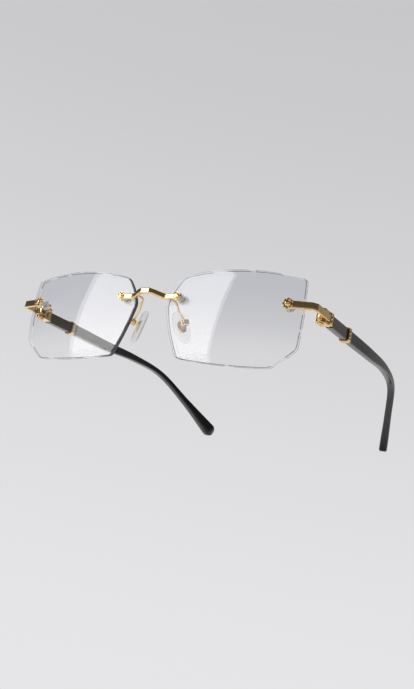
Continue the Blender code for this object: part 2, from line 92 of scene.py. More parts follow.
class Nodes:
    # The node tree of one material, or of the world.
    def __init__(self, owner):
        owner.use_nodes = True
        self.owner = owner
        self.tree = owner.node_tree
        self.tree.nodes.clear()

    def add(self, kind, settings=None, values=None, give=0):
        # Settings come first, because some of them change which sockets there are.
        node = self.tree.nodes.new("ShaderNode" + kind)
        for name, value in (settings or {}).items():
            if name == "stops":
                while len(node.color_ramp.elements) < len(value):
                    node.color_ramp.elements.new(0.5)
                for stop, (position, tone) in zip(node.color_ramp.elements, value):
                    stop.position = position
                    stop.color = (*tone, 1) if len(tone) == 3 else tone
            else:
                setattr(node, name, value)
        for name, value in (values or {}).items():
            if isinstance(value, Link):
                self.tree.links.new(value.socket, node.inputs[name])
            else:
                node.inputs[name].default_value = value
        return Link(self.tree, node.outputs[give])

    def colours(self, share, first, second):
        return self.add("Mix", {"data_type": "RGBA"}, {0: share, 6: opaque(first), 7: opaque(second)}, 2)

    def place(self, stretch=(1, 1, 1)):
        where = self.add("TexCoord", give=3)
        return self.add("VectorMath", {"operation": "MULTIPLY"}, {0: where, 1: stretch})

    def axis(self, which):
        # Where the surface is along X, Y or Z, which are 0, 1 and 2.
        return self.add("SeparateXYZ", None, {0: self.place()}, which)

    def noise(self, size, stretch=(1, 1, 1), detail=3.0, roughness=0.55):
        # Cloudy values from 0 to 1; size is that of one cloud, in millimetres.
        values = {"Vector": self.place(stretch), "Scale": 1 / (size * mm), "Detail": detail,
                  "Roughness": roughness}
        return self.add("TexNoise", None, values)

    def spread(self, value, low, high, new=(0.0, 1.0)):
        limits = {"From Min": low, "From Max": high, "To Min": new[0], "To Max": new[1]}
        return self.add("MapRange", {"interpolation_type": "SMOOTHSTEP"}, {"Value": value, **limits})

    def facing(self):
        # 0 where the surface is seen head on, and 1 where it is seen edge on.
        return self.add("LayerWeight", None, {"Blend": 0.5}, 1)

    def mixed(self, share, first, second):
        return self.add("MixShader", None, {0: share, 1: first, 2: second})

    def show(self, surface):
        kind = "World" if isinstance(self.owner, bpy.types.World) else "Material"
        output = self.tree.nodes.new("ShaderNodeOutput" + kind)
        self.tree.links.new(surface.socket, output.inputs["Surface"])
        return self.owner


def opaque(tone):
    return (*tone, 1) if isinstance(tone, tuple) and len(tone) == 3 else tone


goldLook = {
    "tone": (0.94, 0.70, 0.37),
    "deepTone": (0.86, 0.58, 0.25),
    "gloss": (0.06, 0.15),  # roughness of its shiniest and dullest patches
    "patch": 1.6,  # mm
    "wipe": 0.10,  # mm, width of the polishing lines
}


def makeGold(name="polishedGold", look=goldLook):
    nodes = Nodes(bpy.data.materials.new(name))
    patches = nodes.noise(look["patch"])
    lines = nodes.noise(look["wipe"], stretch=(1, 0.12, 1), detail=2.0)
    low, high = look["gloss"]
    dullness = low + (high - low) * nodes.spread(patches * 0.7 + lines * 0.3, 0.35, 0.65)
    relief = nodes.add("Bump", None, {"Height": lines, "Strength": 0.05, "Distance": 0.01 * mm})
    tone = nodes.colours(nodes.spread(patches, 0.35, 0.7), look["tone"], look["deepTone"])
    values = {"Base Color": tone, "Metallic": 1.0, "Roughness": dullness, "Normal": relief}
    return nodes.show(nodes.add("BsdfPrincipled", None, values))


hornLook = {
    "tone": (0.004, 0.0036, 0.0034),
    "frontTone": (0.060, 0.039, 0.027),  # ahead of the collars
    "frontReach": (-42.0, -24.0),  # mm along the table, where the brown dies away
    "streakTone": (0.020, 0.015, 0.012),
    "streak": 0.9,  # mm, width of a streak
    "gloss": (0.07, 0.14),
}


def makeHorn(look=hornLook):
    nodes = Nodes(bpy.data.materials.new("darkHorn"))
    streaks = nodes.noise(look["streak"], stretch=(1, 0.05, 1), detail=5.0)
    pores = nodes.noise(0.18, stretch=(1, 0.15, 1), detail=2.0)
    distanceBack = nodes.axis(1)
    front, rear = look["frontReach"]
    brown = nodes.spread(distanceBack, front * mm, rear * mm, (1.0, 0.0))
    share = nodes.spread(streaks, 0.42, 0.72)
    low, high = look["gloss"]
    dullness = low + (high - low) * nodes.spread(streaks * 0.6 + pores * 0.4, 0.3, 0.7)
    relief = nodes.add("Bump", None, {"Height": pores + streaks, "Strength": 0.02,
                                      "Distance": 0.01 * mm})
    base = nodes.colours(brown * (0.75 + 0.25 * share), look["tone"], look["frontTone"])
    tone = nodes.colours(share * 0.5, base, look["streakTone"])
    values = {"Base Color": tone, "Roughness": dullness, "Normal": relief, "Coat Weight": 0.4,
              "Coat Roughness": 0.04}
    return nodes.show(nodes.add("BsdfPrincipled", None, values))


lensLook = {
    "topTint": (0.905, 0.913, 0.932),  # what each of the two faces lets through
    "lowTint": (0.995, 0.993, 0.998),
    "tintFrom": 2.0,  # mm above the table, where the darker tint starts
    "tintTo": 34.0,
    "gloss": 0.004,
    # The two wall tones are painted reflection: near black by the nose, painted grey low down.
    "wallPaintedDark": (0.004, 0.004, 0.0045),  # of the ground edge by the nose
    "wallPaintedGrey": (0.10, 0.10, 0.11),  # of the same edge low down
    "wallDarkens": (3.0, 9.0),  # mm above the table, from the one tone to the other
    "noseReach": (17.0, 24.0),  # mm from the middle, where the painted dark reflection on the edge and rims ends
    "glint": 7.0,  # mm, length of the painted glints and painted dark dashes along the rims
    # The rim tones are painted light: a dark reflection, a glint, and a dark reflection by the nose.
    "rimPaintedDark": (0.025, 0.026, 0.032), "rimPaintedGlint": (0.95, 0.95, 0.96), "rimPaintedDarkByNose": (0.02, 0.02, 0.022),
}


def mirrored(nodes, base, gloss, least=0.04):
    # A clear surface that mirrors more of what it meets edge on. Both sides of it do the same.
    share = least + (1 - least) * nodes.facing() ** 5.0
    mirror = nodes.add("BsdfGlossy", {"distribution": "GGX"}, {"Color": (1, 1, 1, 1), "Roughness": gloss})
    return nodes.mixed(share, base, mirror)


def makeLensFace(look=lensLook):
    nodes = Nodes(bpy.data.materials.new("tintedLens"))
    height = nodes.axis(2)
    cloud = nodes.noise(30.0, detail=1.0)
    share = nodes.spread(height + (cloud - 0.5) * (4 * mm), look["tintFrom"] * mm, look["tintTo"] * mm)
    dark = nodes.add("BsdfTransparent", None, {"Color": opaque(look["topTint"])})
    light = nodes.add("BsdfTransparent", None, {"Color": opaque(look["lowTint"])})
    return nodes.show(mirrored(nodes, nodes.mixed(share, light, dark), look["gloss"]))


def shareByNose(nodes, look):
    # 1 on the lens's nasal side and 0 on the rest of it.
    middle = nodes.add("Math", {"operation": "ABSOLUTE"}, {0: nodes.axis(0)})
    near, far = look["noseReach"]
    return nodes.spread(middle, near * mm, far * mm, (1.0, 0.0))


def makeLensWall(look=lensLook):
    # The ground edge: a painted near-black reflection by the nose, for the light trapped in it there, painted
    # grey low down, and clear elsewhere.
    nodes = Nodes(bpy.data.materials.new("lensWall"))
    grind = nodes.noise(0.35, stretch=(1, 1, 0.3))
    byNose = shareByNose(nodes, look)
    low, high = look["wallDarkens"]
    # Painted dark reflection on the edge by the nose, turning to painted grey towards its foot.
    tone = nodes.colours(nodes.spread(nodes.axis(2), low * mm, high * mm), look["wallPaintedGrey"], look["wallPaintedDark"])
    black = nodes.add("BsdfPrincipled", None, {"Base Color": tone, "Roughness": 0.3,
                                               "Specular IOR Level": 0.15})
    clear = nodes.add("BsdfTransparent", None, {"Color": (0.95, 0.96, 0.97, 1)})
    haze = nodes.add("BsdfPrincipled", None, {"Base Color": (0.80, 0.81, 0.83, 1), "Roughness": 0.3})
    pale = nodes.mixed(0.10 + 0.25 * grind, clear, haze)
    inside = nodes.add("NewGeometry", give=6)  # 1 where the wall is seen through the lens
    outside = nodes.mixed(byNose * (0.85 + 0.15 * grind), pale, black)
    return nodes.show(nodes.mixed(inside, outside, nodes.mixed(0.06 + 0.16 * grind, clear, haze)))


def makeLensRim(look=lensLook):
    # The narrow chamfers: painted glints and painted dark reflections in dashes, for what they bend towards
    # the eye.
    nodes = Nodes(bpy.data.materials.new("lensRim"))
    dashes = nodes.noise(look["glint"], detail=2.0)
    # Painted glints and painted dark reflections in dashes, painted dark by the nose.
    tone = nodes.colours(nodes.spread(dashes, 0.50, 0.54), look["rimPaintedDark"], look["rimPaintedGlint"])
    tone = nodes.colours(shareByNose(nodes, look), tone, look["rimPaintedDarkByNose"])
    line = nodes.add("BsdfPrincipled", None, {"Base Color": tone, "Roughness": 0.2,
                                              "Specular IOR Level": 0.2})
    clear = nodes.add("BsdfTransparent", None, {"Color": (0.9, 0.91, 0.93, 1)})
    return nodes.show(nodes.mixed(0.65 + 0.30 * nodes.spread(dashes, 0.40, 0.60), clear, line))


padLook = {"tone": (0.86, 0.86, 0.87), "haze": (0.05, 0.55), "gloss": 0.12}  # haze: in the middle, at the rim
washerLook = {"tone": (0.88, 0.86, 0.84), "haze": (0.70, 0.92), "gloss": 0.10}


def makeClear(name, look):
    nodes = Nodes(bpy.data.materials.new(name))
    cloud = nodes.noise(2.5)
    tone = nodes.colours(cloud, look["tone"], tuple(0.93 * part for part in look["tone"]))
    body = nodes.add("BsdfPrincipled", None, {"Base Color": tone, "Roughness": 0.35})
    clear = nodes.add("BsdfTransparent", None, {"Color": (0.97, 0.97, 0.97, 1)})
    low, high = look["haze"]
    haze = low + (high - low) * nodes.facing() ** 2.2 + 0.04 * cloud
    return nodes.show(mirrored(nodes, nodes.mixed(haze, clear, body), look["gloss"]))


def makeSteel():
    nodes = Nodes(bpy.data.materials.new("drawnSteel"))
    lines = nodes.noise(0.12, stretch=(1, 0.05, 1))
    values = {"Base Color": nodes.colours(lines, (0.50, 0.51, 0.52), (0.62, 0.62, 0.63)), "Metallic": 1.0,
              "Roughness": 0.22 + 0.16 * lines}
    return nodes.show(nodes.add("BsdfPrincipled", None, values))


gold = makeGold()
horn = makeHorn()
lensFace = makeLensFace()
lensWall = makeLensWall()
lensRim = makeLensRim()
silicone = makeClear("clearSilicone", padLook)
plastic = makeClear("clearPlastic", washerLook)
steel = makeSteel()
print("materials made")


def along(origin, across, ahead):
    # A place whose Z is ahead and whose X is as near to across as it can be.
    z = ahead.normalized()
    x = (across - z * across.dot(z)).normalized()
    place = Matrix((x, z.cross(x), z)).transposed().to_4x4()
    place.translation = origin
    return place


def ringBody(rings, looped=False):
    # A closed body through rings of equally many points; an end ring may be one point.
    shape = bmesh.new()
    made = [[shape.verts.new(point) for point in ring] for ring in rings]
    if looped:
        made.append(made[0])
    for near, far in zip(made, made[1:]):
        count = max(len(near), len(far))
        for i in range(count):
            j = (i + 1) % count
            corners = [near[i % len(near)], near[j % len(near)], far[j % len(far)], far[i % len(far)]]
            shape.faces.new(list(dict.fromkeys(corners)))
    if not looped:
        for ring in (made[0], made[-1]):
            if len(ring) > 2:
                shape.faces.new(ring)
    bmesh.ops.recalc_face_normals(shape, faces=shape.faces)
    return shape


def turned(profile, place, steps=40):
    # A (radius, height) profile spun about the place's Z. Off the axis it is a ring.
    rings = []
    for radius, height in profile:
        turns = [2 * math.pi * i / steps for i in range(steps if radius else 1)]
        rings.append([place @ Vector((radius * math.cos(t), radius * math.sin(t), height)) for t in turns])
    return ringBody(rings, looped=profile[0][0] > 0)


def rod(radius, low, high, place, steps=32):
    return turned([(0, low), (radius, low), (radius, high), (0, high)], place, steps)


def block(low, high, place, edge=0.0):
    shape = bmesh.new()
    middle = (Vector(low) + Vector(high)) / 2
    size = Vector(high) - Vector(low)
    bmesh.ops.create_cube(shape, size=1.0, matrix=Matrix.Translation(middle) @ Matrix.Diagonal((*size, 1)))
    if edge:
        bmesh.ops.bevel(shape, geom=list(shape.edges), offset=edge, segments=3, profile=0.5, affect="EDGES")
    bmesh.ops.transform(shape, matrix=place, verts=shape.verts)
    return shape


def knuckle(radius, reach, low, high, place, edge):
    # Half a barrel about the place's Z with a straight tongue out along its X, and softened rims.
    rings = []
    for height, inset in ((low, edge), (low + edge, 0), (high - edge, 0), (high, edge)):
        turns = [math.pi / 2 + math.pi * i / 24 for i in range(25)]
        outline = [((radius - inset) * math.cos(t), (radius - inset) * math.sin(t)) for t in turns]
        outline += [(reach, -radius + inset), (reach, radius - inset)]
        rings.append([place @ Vector((x, y, height)) for x, y in outline])
    return ringBody(rings)


def roundedRectangle(width, height, corner, steps=5):
    points = []
    for quarter, (right, top) in enumerate(((1, 1), (-1, 1), (-1, -1), (1, -1))):
        centre = Vector((right * (width / 2 - corner), top * (height / 2 - corner)))
        for i in range(steps + 1):
            turn = math.pi / 2 * (quarter + i / steps)
            points.append(centre + corner * Vector((math.cos(turn), math.sin(turn))))
    return points


def oval(width, length, steps=48):
    turns = [2 * math.pi * i / steps for i in range(steps)]
    return [Vector((width / 2 * math.cos(t), length / 2 * math.sin(t))) for t in turns]


def swept(path, sections, up=upwards, ends=0.0):
    # Sections carried along a path, with their Y as near to up as it can be. Ends rounds the two ends.
    places = []
    for i, point in enumerate(path):
        ahead = path[min(i + 1, len(path) - 1)] - path[max(i - 1, 0)]
        places.append(along(point, up.cross(ahead), ahead))
    rings = [[place @ point.to_3d() for point in ring] for place, ring in zip(places, sections)]
    if ends:
        width = max(point.x for point in sections[0])
        for which, sign in ((0, -1), (-1, 1)):
            place, ring = places[which], sections[which]
            caps = []
            for turn in (30, 60):
                share = 1 - ends / width * (1 - math.cos(math.radians(turn)))
                rise = sign * ends * math.sin(math.radians(turn))
                caps.append([place @ Vector((p.x * share, p.y * share, rise)) for p in ring])
            if which == 0:
                rings = [*reversed(caps), *rings]
            else:
                rings = [*rings, *caps]
    return ringBody(rings)


def smoothPath(points, steps):
    padded = [points[0] * 2 - points[1], *points, points[-1] * 2 - points[-2]]
    path = []
    for a, b, c, d in zip(padded, padded[1:], padded[2:], padded[3:]):
        for i in range(steps):
            t = i / steps
            path.append(0.5 * (2 * b + (c - a) * t + (2 * a - 5 * b + 4 * c - d) * t**2
                               + (3 * b - a - 3 * c + d) * t**3))
    return [*path, points[-1]]


def roundedBend(start, corner, end, radius, steps=14):
    into = (corner - start).normalized()
    out = (end - corner).normalized()
    turn = into.angle(out)
    leg = radius * math.tan(turn / 2)
    centre = corner - into * leg + (out - into * into.dot(out)).normalized() * radius
    spoke = corner - into * leg - centre
    arc = [centre + Matrix.Rotation(turn * i / steps, 3, into.cross(out)) @ spoke for i in range(steps + 1)]
    return [start, *arc, end]


def toMesh(shape):
    mesh = bpy.data.meshes.new("shape")
    shape.to_mesh(mesh)
    shape.free()
    return mesh


def solid(base, joins=(), cuts=()):
    # The base with its joins added and its cuts taken away.
    body = bpy.data.objects.new("shape", toMesh(base))
    bpy.context.collection.objects.link(body)
    tools = []
    for operation, shapes in (("UNION", joins), ("DIFFERENCE", cuts)):
        for shape in shapes:
            tool = bpy.data.objects.new("tool", toMesh(shape))
            bpy.context.collection.objects.link(tool)
            tools.append(tool)
            step = body.modifiers.new(operation, "BOOLEAN")
            step.operation = operation
            step.solver = "EXACT"
            step.object = tool
    mesh = bpy.data.meshes.new_from_object(body.evaluated_get(bpy.context.evaluated_depsgraph_get()))
    for thing in (body, *tools):
        bpy.data.objects.remove(thing, do_unlink=True)
    return mesh


def withTrim(mesh, shapes):
    # Adds ornaments that sit on the surface, such as beads.
    whole = bmesh.new()
    whole.from_mesh(mesh)
    for shape in shapes:
        trim = toMesh(shape)
        whole.from_mesh(trim)
        bpy.data.meshes.remove(trim)
    return toMesh(whole)


def putOut(name, mesh, materials, body, nodes, side=1, sharp=32):
    # Puts one finished piece on its body, in place of its CAD nodes.
    mesh = mesh.copy()
    if side < 0:
        mesh.transform(Matrix.Scale(-1, 4, (1, 0, 0)))
        mesh.flip_normals()
    mesh.transform(Matrix.Translation(shift))
    for material in materials:
        mesh.materials.append(material)
    mesh.shade_smooth()
    mesh.set_sharp_from_angle(angle=math.radians(sharp))
    piece = bpy.data.objects.new(name, mesh)
    bpy.context.collection.objects.link(piece)
    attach(piece, body)
    if nodes:
        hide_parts(*nodes)
    return piece


def onBothSides(role, mesh, materials, body, sharp=32):
    # body is "front", or the part of a body's name that follows left_ or right_.
    for word, side in sides.items():
        rides = body if body == "front" else f"{word}_{body}"
        putOut(f"{word}_{role}_look", mesh, materials, rides, [f"{word}_{role}"], side, sharp)


lens = {
    "width": 57.2, "apart": 15.0, "thickness": 2.0, "curve": 142.0, "wrap": 3.9, "tilt": 2.7,
    "sideTop": 13.5, "sideBottom": 13.3, "waist": 2.4, "browCut": 6.1, "footCut": 8.2, "foot": 19.1,
    "chinCut": 9.3, "chin": 20.8, "corner": 1.3, "chamfer": 0.22,
    "bows": {"brow": 0.8, "top": 2.6, "side": 0.8, "chin": 0.3, "bottom": 1.15, "nose": 0.9},
    "rings": 12, "hole": 1.2,
}
lensCentre = (lens["apart"] + lens["width"]) / 2
lensPlace = (Matrix.Translation((lensCentre * mm, 0, 0)) @ Matrix.Rotation(math.radians(lens["tilt"]), 4, "X")
             @ Matrix.Rotation(math.radians(lens["wrap"]), 4, "Z"))


def sag(across, up):
    return (across**2 + up**2) / (2 * lens["curve"])


def onLens(across, up):
    # A drilled hole's place: on the lens's front face, with Z out to the front and X to the outer side.
    origin = Vector((across, sag(across, up), up)) * mm
    outward = Vector((across / lens["curve"], -1, up / lens["curve"]))
    return lensPlace @ along(origin, Vector((1, 0, 0)), outward)


mounts = {
    "end": onLens(lens["width"] / 2 - 4.8, 3.0),
    "bridge": onLens(6.1 - lens["width"] / 2, 4.7),
}


def lensOutline():
    half = lens["width"] / 2
    corners = [
        ("brow", (-half, lens["waist"])), ("top", (lens["browCut"] - half, lens["sideTop"])),
        ("side", (half, lens["sideTop"])), ("chin", (half, -lens["sideBottom"])),
        ("bottom", (half - lens["chinCut"], -lens["chin"])),
        ("nose", (lens["footCut"] - half, -lens["foot"])),
    ]
    runs = []
    for i, (name, start) in enumerate(corners):
        start, end = Vector(start), Vector(corners[(i + 1) % len(corners)][1])
        run = end - start
        outward = Vector((-run.y, run.x)).normalized()
        trim = lens["corner"] / run.length
        steps = max(6, round(run.length / 1.6))
        shares = [trim + (1 - 2 * trim) * j / steps for j in range(steps + 1)]
        runs.append([start + run * s + outward * lens["bows"][name] * 4 * s * (1 - s) for s in shares])
    points = []
    for i, run in enumerate(runs):
        before, corner = runs[i - 1][-1], Vector(corners[i][1])
        for t in (0.2, 0.4, 0.6, 0.8):
            points.append(before * (1 - t) ** 2 + corner * 2 * t * (1 - t) + run[0] * t**2)
        points.extend(run)
    return points


def makeLens():
    outline = lensOutline()
    chamfer = lens["chamfer"]
    count = lens["rings"]
    inner = [point * (1 - chamfer / point.length) for point in outline]
    rings = []

    def ring(points, share, depth):
        return [lensPlace @ (Vector((p.x * share, sag(p.x * share, p.y * share) + depth, p.y * share)) * mm)
                for p in (points if share else points[:1])]

    for i in range(count + 1):
        rings.append(ring(inner, i / count, 0.0))
    rings.append(ring(outline, 1, chamfer))
    rings.append(ring(outline, 1, lens["thickness"] - chamfer))
    for i in range(count, -1, -1):
        rings.append(ring(inner, i / count, lens["thickness"]))
    holes = [rod(lens["hole"] * mm, -4 * mm, 3 * mm, place) for place in mounts.values()]
    mesh = solid(ringBody(rings), cuts=holes)
    face = (lensPlace.to_3x3() @ Vector((0, 1, 0))).normalized()
    backs = [place.inverted() for place in mounts.values()]
    reach = 1.1 * lens["hole"] * mm
    for polygon in mesh.polygons:
        flatness = abs(polygon.normal.dot(face))
        inHole = any((back @ polygon.center).xy.length < reach for back in backs)
        if flatness > 0.9 or inHole:
            polygon.material_index = 0
        elif flatness > 0.4:
            polygon.material_index = 2
        else:
            polygon.material_index = 1
    return mesh


onBothSides("lens", makeLens(), [lensFace, lensWall, lensRim], "front", sharp=20)
print("lenses made")


fastening = {
    "gap": 0.15, "screw": 0.6, "head": 1.2, "headHeight": 0.6, "flange": 0.25,
    "washer": 2.1, "washerHeight": 0.9, "washerEdge": 0.18,
    "nut": 1.3, "nutHeight": 1.5, "nutDome": 0.5, "nutFloor": 0.4,
    "turn": {"end": 24, "bridge": -15},  # degrees, of the screws' slots
}
plateStart = 2 * fastening["gap"] + fastening["flange"]
bore = fastening["screw"] + fastening["gap"]


def screwMesh(place, low, radius, height, shaft, tip, slot=0.3):
    # A domed, slotted head on a plain shaft.
    dome = [(radius * math.cos(t), low + height * (0.35 + 0.65 * math.sin(t)))
            for t in (math.pi / 2 * i / 7 for i in range(7))]
    profile = [(0, low + height), *reversed(dome), (radius, low), (shaft, low), (shaft, tip), (0, tip)]
    profile = [(r * mm, h * mm) for r, h in profile]
    groove = block((-2 * radius * mm, -slot / 2 * mm, (low + height * 0.45) * mm),
                   (2 * radius * mm, slot / 2 * mm, (low + 2 * height) * mm), place)
    return solid(turned(profile, place), cuts=[groove])


def makeFastening(role, thick):
    place = mounts[role]
    gap = fastening["gap"]
    headLow = plateStart + thick + gap
    washerTop = -lens["thickness"] - gap
    washerLow = washerTop - fastening["washerHeight"]
    nutTop = washerLow - gap
    nutLow = nutTop - fastening["nutHeight"]
    turn = place @ Matrix.Rotation(math.radians(fastening["turn"][role]), 4, "Z")
    head = screwMesh(turn, headLow, fastening["head"], fastening["headHeight"], fastening["screw"],
                     nutLow + fastening["nutFloor"] + gap)
    onBothSides(f"{role}_screw", head, [gold], "front")
    radius, edge = fastening["washer"], fastening["washerEdge"]
    washer = [(bore, washerTop), (radius - edge, washerTop), (radius, washerTop - edge),
              (radius, washerLow + edge), (radius - edge, washerLow), (bore, washerLow)]
    washerMesh = toMesh(turned([(r * mm, h * mm) for r, h in washer], place))
    onBothSides(f"{role}_washer", washerMesh, [plastic], "front")
    radius, rise, floor = fastening["nut"], fastening["nutDome"], nutLow + fastening["nutFloor"]
    dome = [(radius * math.cos(t), nutLow + rise - rise * math.sin(t))
            for t in (math.pi / 2 * i / 6 for i in range(6))]
    nut = [(0, nutLow), *reversed(dome), (radius, nutTop), (bore, nutTop), (bore, floor), (0, floor)]
    nutMesh = toMesh(turned([(r * mm, h * mm) for r, h in nut], place))
    onBothSides(f"{role}_nut", nutMesh, [gold], "front")


def lobedDisc(place, radius, low, thick, lobes, depth):
    # A scalloped rosette with a sunk middle, for the screw to sit in.
    # Share of the radius, share of the thickness, and how strongly the scallops show there.
    levels = [(0, 0, 0), (0.86, 0, 0.6), (1.0, 0.22, 1), (1.0, 0.72, 1),
              (0.90, 1, 1), (0.76, 1, 0.6), (0.68, 0.82, 0), (0, 0.82, 0)]
    steps = lobes * 8
    rings = []
    for share, rise, strength in levels:
        height = low + rise * thick
        ring = []
        for i in range(steps if share else 1):
            t = 2 * math.pi * i / steps
            reach = radius * share * (1 + strength * depth * (abs(math.cos(lobes * t / 2)) - 0.6))
            ring.append(place @ (Vector((reach * math.cos(t), reach * math.sin(t), height)) * mm))
        rings.append(ring)
    return ringBody(rings)


makeFastening("end", 1.2)
makeFastening("bridge", 1.5)
print("fastenings made")


bridge = {
    "height": 2.35, "depth": 1.5, "eyelet": 1.65, "armHalf": 7.2, "crownHalf": 2.5, "rise": 1.2,
    "archForward": 2.9, "lobes": 8, "scallop": 0.10, "bead": 0.26,
}


beadShare = 0.82  # of an eyelet's radius, where its beads lie


def beads(place, radius, height, count, size):
    # A ring of little balls, as a jeweller's border.
    made = []
    for i in range(count):
        turn = 2 * math.pi * (i + 0.5) / count
        spot = Vector((radius * math.cos(turn), radius * math.sin(turn), height)) * mm
        ball = bmesh.new()
        bmesh.ops.create_icosphere(ball, subdivisions=2, radius=size * mm,
                                   matrix=place @ Matrix.Translation(spot))
        made.append(ball)
    return made


def makeBridge():
    middle = (plateStart + bridge["depth"] / 2) * mm
    end = mounts["bridge"] @ Vector((0, 0, middle))
    rim = mounts["bridge"] @ Vector((-1.4 * bridge["eyelet"] * mm, 0, middle))
    arm = Vector((bridge["armHalf"] * mm, end.y, end.z))
    crown = Vector((0, end.y - bridge["archForward"] * mm, end.z + bridge["rise"] * mm))
    brow = Vector((bridge["crownHalf"] * mm, crown.y * 0.94 + end.y * 0.06, crown.z * 0.94 + end.z * 0.06))
    half = [end, rim, rim.lerp(arm, 0.6), arm, brow]
    flipped = [Vector((-p.x, p.y, p.z)) for p in reversed(half)]
    path = smoothPath([*half, crown, *flipped], 8)
    section = roundedRectangle(bridge["depth"] * mm, bridge["height"] * mm, bridge["depth"] * 0.33 * mm)
    flip = Matrix.Scale(-1, 4, (1, 0, 0))
    places = (mounts["bridge"], flip @ mounts["bridge"])
    discs = [lobedDisc(place, bridge["eyelet"], plateStart, bridge["depth"], bridge["lobes"],
                       bridge["scallop"]) for place in places]
    cuts = [rod(bore * mm, 0, 4 * mm, place) for place in places]
    rims = []
    for place in places:
        rims += beads(place, beadShare * bridge["eyelet"], plateStart + bridge["depth"], bridge["lobes"],
                      bridge["bead"])
    return withTrim(solid(swept(path, [section] * len(path)), joins=discs, cuts=cuts), rims)


putOut("bridge_look", makeBridge(), [gold], "front", ["bridge"])
print("bridge made")


bar = {"thick": 1.2, "height": 2.95, "eyelet": 2.15, "bend": 2.2, "end": 16.7, "lobes": 8, "scallop": 0.12,
       "bead": 0.32}
hinge.update({"inset": 2.5, "barrel": 2.1, "barrelHeight": 2.75, "upperFlange": 1.5, "flange": 1.25,
              "gap": 0.2, "pin": 0.7, "head": 1.25, "headHeight": 0.5})
cap = {"gap": 0.5, "thick": 2.5, "width": 3.2, "height": 5.0, "rope": 0.85, "ropeTwists": 3.0}
outerFace = hinge["across"] + hinge["inset"]
flangeLow = bar["height"] / 2 + hinge["gap"]
capBack = bar["end"] + cap["gap"] - hinge["back"]
hingeFrame = Matrix.Translation(hingePlace)


def makeEndPiece():
    start = mounts["end"] @ Vector((0, 0, (plateStart + bar["thick"] / 2) * mm))
    heading = mounts["end"].to_3x3() @ Vector((1, 0, 0))
    run = ((outerFace - bar["thick"] / 2) * mm - start.x) / heading.x
    height = hinge["up"] * mm
    corner = Vector((start.x + run * heading.x, start.y + run * heading.y, height))
    end = Vector((corner.x, bar["end"] * mm, height))
    path = roundedBend(Vector((start.x, start.y, height)), corner, end, bar["bend"] * mm)
    section = roundedRectangle(bar["thick"] * mm, bar["height"] * mm, 0.26 * mm, 3)
    reach = (hinge["inset"] - bar["thick"] / 2) * mm
    half = hinge["barrelHeight"] / 2 * mm
    rosette = lobedDisc(mounts["end"], bar["eyelet"], plateStart, bar["thick"], bar["lobes"], bar["scallop"])
    barrel = knuckle(hinge["barrel"] * mm, reach, -half, half, hingeFrame, 0.15 * mm)
    holes = [rod(bore * mm, 0, 4 * mm, mounts["end"]),
             rod((hinge["pin"] + fastening["gap"]) * mm, -3 * mm, 3 * mm, hingeFrame)]
    rim = beads(mounts["end"], beadShare * bar["eyelet"], plateStart + bar["thick"], bar["lobes"],
                bar["bead"])
    return withTrim(solid(swept(path, [section] * len(path)), joins=[rosette, barrel], cuts=holes), rim)


def rope(radius, low, high, twists, flat, place):
    # Two strands wound round each other along the place's Z, and flattened across its X.
    steps, levels = 28, 40
    rings = [[place @ Vector((0, 0, low))]]
    for k in range(levels + 1):
        share = k / levels
        height = low + (high - low) * share
        narrow = min(1.0, 6 * share + 0.35, 6 * (1 - share) + 0.35)
        ring = []
        for i in range(steps):
            t = 2 * math.pi * i / steps
            lobe = abs(math.cos(t - math.pi * twists * share))
            reach = radius * narrow * (0.62 + 0.38 * lobe)
            ring.append(place @ Vector((reach * math.cos(t) * flat, reach * math.sin(t), height)))
        rings.append(ring)
    rings.append([place @ Vector((0, 0, high))])
    return ringBody(rings)


def makeCap():
    plate = block(((hinge["inset"] - cap["width"]) * mm, capBack * mm, -cap["height"] / 2 * mm),
                  (hinge["inset"] * mm, (capBack + cap["thick"]) * mm, cap["height"] / 2 * mm),
                  hingeFrame, 0.25 * mm)
    rearward = hingeFrame @ Matrix.Rotation(math.pi / 2, 4, "Z")
    reach = (capBack + cap["thick"] / 2) * mm
    levels = ((hinge["barrel"], -flangeLow - hinge["flange"]), (hinge["upperFlange"], flangeLow))
    flanges = [knuckle(radius * mm, reach, low * mm, (low + hinge["flange"]) * mm, rearward, 0.15 * mm)
               for radius, low in levels]
    cut = rod((hinge["pin"] + fastening["gap"]) * mm, -5 * mm, 5 * mm, hingeFrame)
    ropePlace = hingeFrame @ Matrix.Translation(Vector((hinge["inset"] - 0.05, capBack + 1.25, 0)) * mm)
    strand = rope(cap["rope"] * mm, -cap["height"] / 2 * mm, cap["height"] / 2 * mm, cap["ropeTwists"], 0.5,
                  ropePlace)
    return solid(plate, joins=[*flanges, strand], cuts=[cut])


hingeDown = hingeFrame @ Matrix.Rotation(math.pi, 4, "X") @ Matrix.Rotation(0.5, 4, "Z")
outside = flangeLow + hinge["flange"]
onBothSides("end_piece", makeEndPiece(), [gold], "front")
onBothSides("temple_cap", makeCap(), [gold], "temple_body")
hingeScrew = screwMesh(hingeDown, outside + fastening["gap"], hinge["head"], hinge["headHeight"],
                       hinge["pin"], -outside)
onBothSides("hinge_screw", hingeScrew, [gold], "temple_body")
print("end pieces and hinges made")


temple = {
    "length": 118.9, "corner": 0.42, "tip": 3.4, "drop": 0.5,
    # share of the length, then inward, up, thickness and height
    "stations": ((0.00, 0.0, 0.0, 2.9, 4.6), (0.18, 0.45, 0.6, 2.8, 4.8), (0.36, 0.75, 1.05, 2.7, 4.4),
                 (0.54, 2.6, 1.8, 2.85, 3.1), (0.71, 6.5, -0.4, 3.1, 2.4), (0.86, 13.1, -9.8, 3.2, 3.1),
                 (1.00, 19.7, -19.85, 3.8, 5.9)),
}
collar = {"back": 14.6, "length": 2.4, "wall": 0.5, "edge": 0.16, "rope": 0.9, "ropeTwists": 3.5}


def templePoints():
    first = Vector((outerFace - temple["stations"][0][3] / 2,
                    bar["end"] + cap["gap"] + cap["thick"] + fastening["gap"], hinge["up"] - temple["drop"]))
    return [(first + Vector((-inward, share * temple["length"], up))) * mm
            for share, inward, up, _, _ in temple["stations"]]


